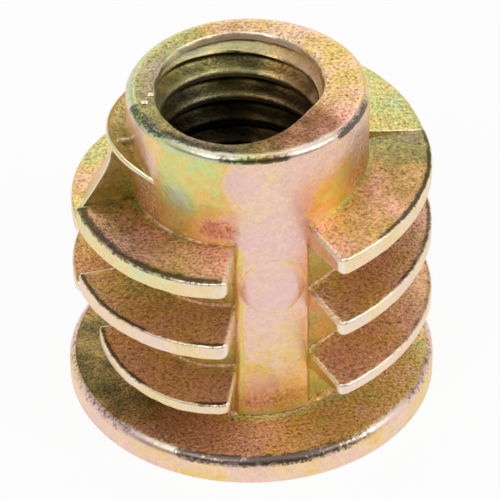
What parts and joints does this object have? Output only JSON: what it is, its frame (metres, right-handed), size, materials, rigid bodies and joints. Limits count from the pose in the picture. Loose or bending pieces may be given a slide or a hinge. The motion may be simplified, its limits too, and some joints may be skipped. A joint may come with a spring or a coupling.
{
  "type": "threaded insert nut",
  "caption": "Flanged insert nut for timber: hexagon drive socket, metric threaded bore and coarse interrupted outer fins with a cutting tooth.",
  "frame": {"origin": "centre of the flange's face, the face that lies flush with the timber", "axes": "+Z along the bore, from the flange to the tip; -Y towards the plain strip with the round pad; +X to the right-hand end of the parting plane, which is turned 3.5 degrees about +Z"},
  "size_m": [0.016, 0.016, 0.0152],
  "materials": {
    "zinc_plate": "yellow chromate passivation over zinc alloy, iridescent, with a fine cast grain"
  },
  "bodies": {
    "root": {"insert_body": "zinc_plate"}
  },
  "joints": []
}
